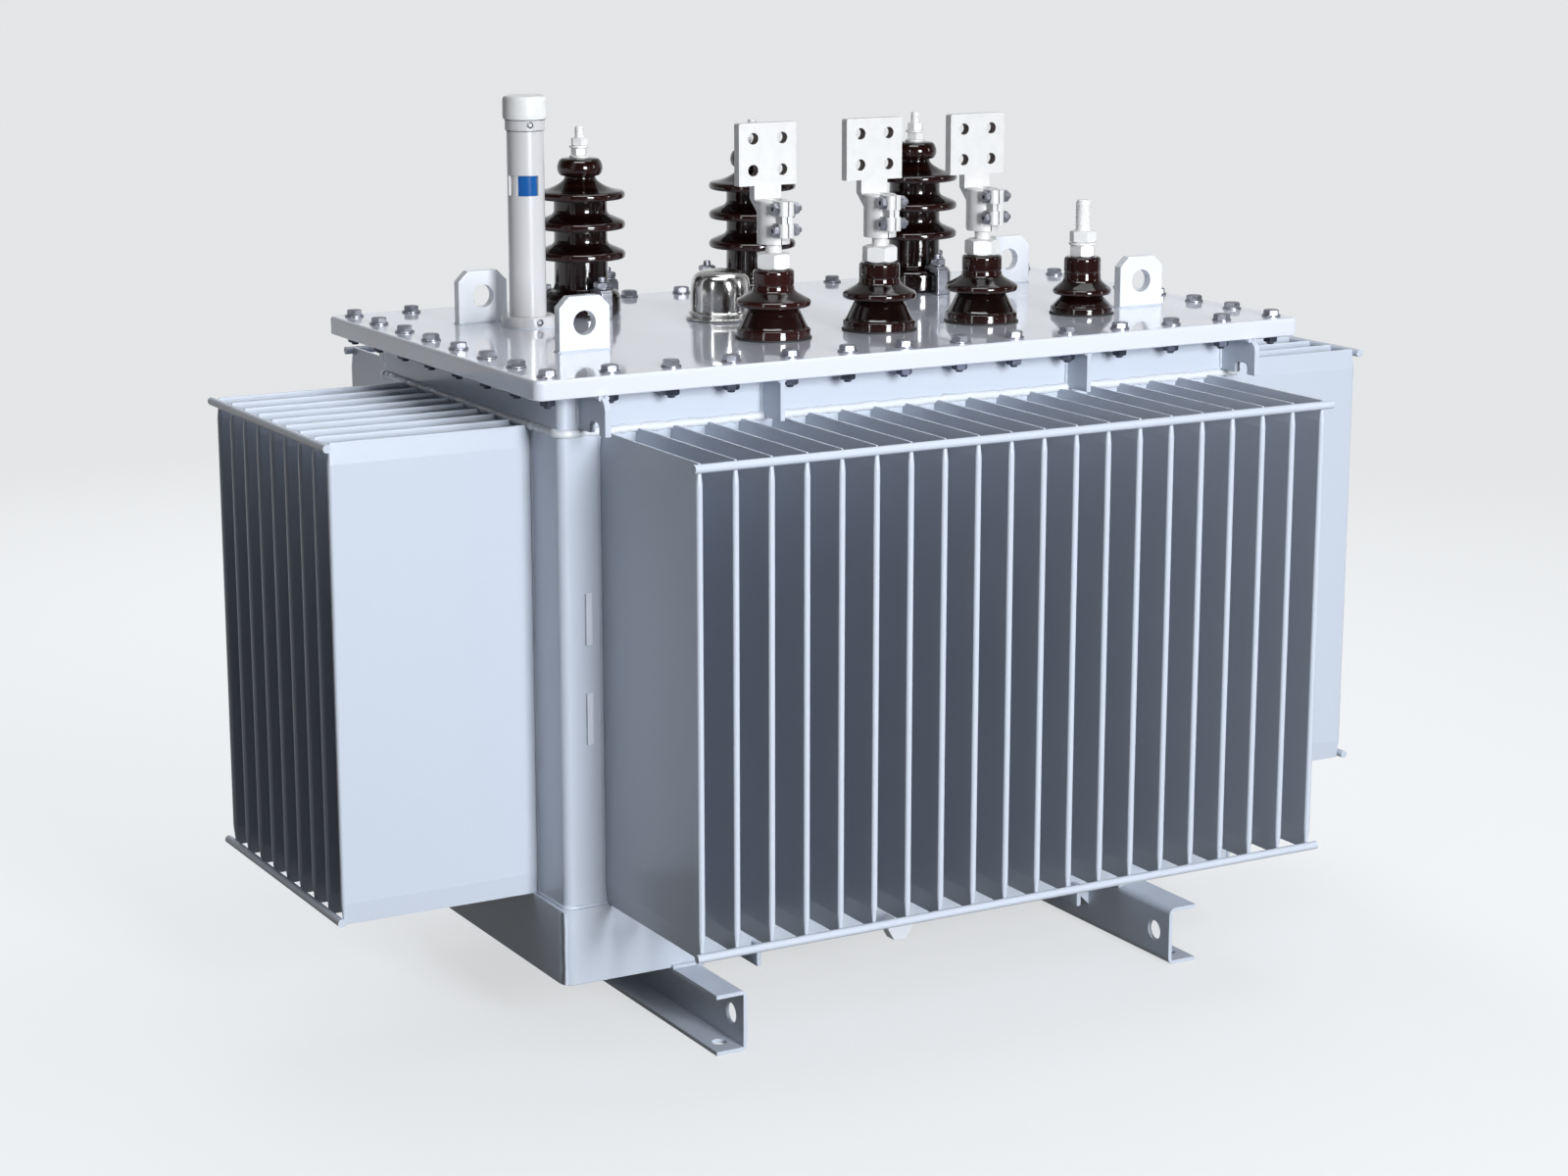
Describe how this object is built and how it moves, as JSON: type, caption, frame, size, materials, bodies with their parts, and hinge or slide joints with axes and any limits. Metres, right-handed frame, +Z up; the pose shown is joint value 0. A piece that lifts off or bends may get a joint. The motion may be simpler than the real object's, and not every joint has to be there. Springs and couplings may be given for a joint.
{
  "type": "power transformer",
  "caption": "Oil-filled distribution transformer with corrugated cooling walls, porcelain bushings on a bolted cover, and channel rails under the tank.",
  "frame": {"origin": "middle of the footprint at the underside of the rails", "axes": "+X along the low-voltage front to the right, +Y towards the high-voltage back, +Z up"},
  "size_m": [1.4826, 1.0126, 1.092],
  "materials": {
    "grey_paint": "gloss light blue-grey paint",
    "brown_porcelain": "dark brown glaze",
    "tinned_metal": "tin-plated, satin",
    "zinc_plate": "zinc-plated",
    "polished_steel": "polished stainless",
    "white_plastic": "white moulded plastic",
    "blue_float": "blue moulded plastic",
    "gasket_rubber": "black rubber"
  },
  "bodies": {
    "root": {"tank_tray": "grey_paint", "corner_posts": "grey_paint", "upper_band": "grey_paint", "front_wall": "grey_paint", "back_wall": "grey_paint", "left_wall": "grey_paint", "right_wall": "grey_paint", "front_tie_rods": "grey_paint", "back_tie_rods": "grey_paint", "left_tie_rods": "grey_paint", "right_tie_rods": "grey_paint", "left_rail": "grey_paint", "right_rail": "grey_paint", "rail_gussets": "grey_paint", "jacking_plates": "grey_paint", "lifting_hooks": "grey_paint", "band_stiffeners": "grey_paint", "tank_flange": "grey_paint", "cover": "grey_paint", "cover_lug_front_left": "grey_paint", "cover_lug_front_right": "grey_paint", "cover_lug_back_left": "grey_paint", "cover_lug_back_right": "grey_paint", "gauge_base": "grey_paint", "gauge_tube": "grey_paint", "drain_valve": "grey_paint", "core_and_oil": "grey_paint", "hv_porcelain_1": "brown_porcelain", "hv_porcelain_2": "brown_porcelain", "hv_porcelain_3": "brown_porcelain", "lv_porcelain_1": "brown_porcelain", "lv_porcelain_2": "brown_porcelain", "lv_porcelain_3": "brown_porcelain", "neutral_porcelain": "brown_porcelain", "hv_terminals": "tinned_metal", "lv_stud_1": "tinned_metal", "lv_stud_2": "tinned_metal", "lv_stud_3": "tinned_metal", "neutral_stud": "tinned_metal", "flag_terminal_1": "tinned_metal", "flag_terminal_2": "tinned_metal", "flag_terminal_3": "tinned_metal", "hv_clamps": "zinc_plate", "vent_dome": "polished_steel", "gauge_cap": "white_plastic", "gauge_float": "blue_float", "cover_gasket": "gasket_rubber"}
  },
  "joints": []
}
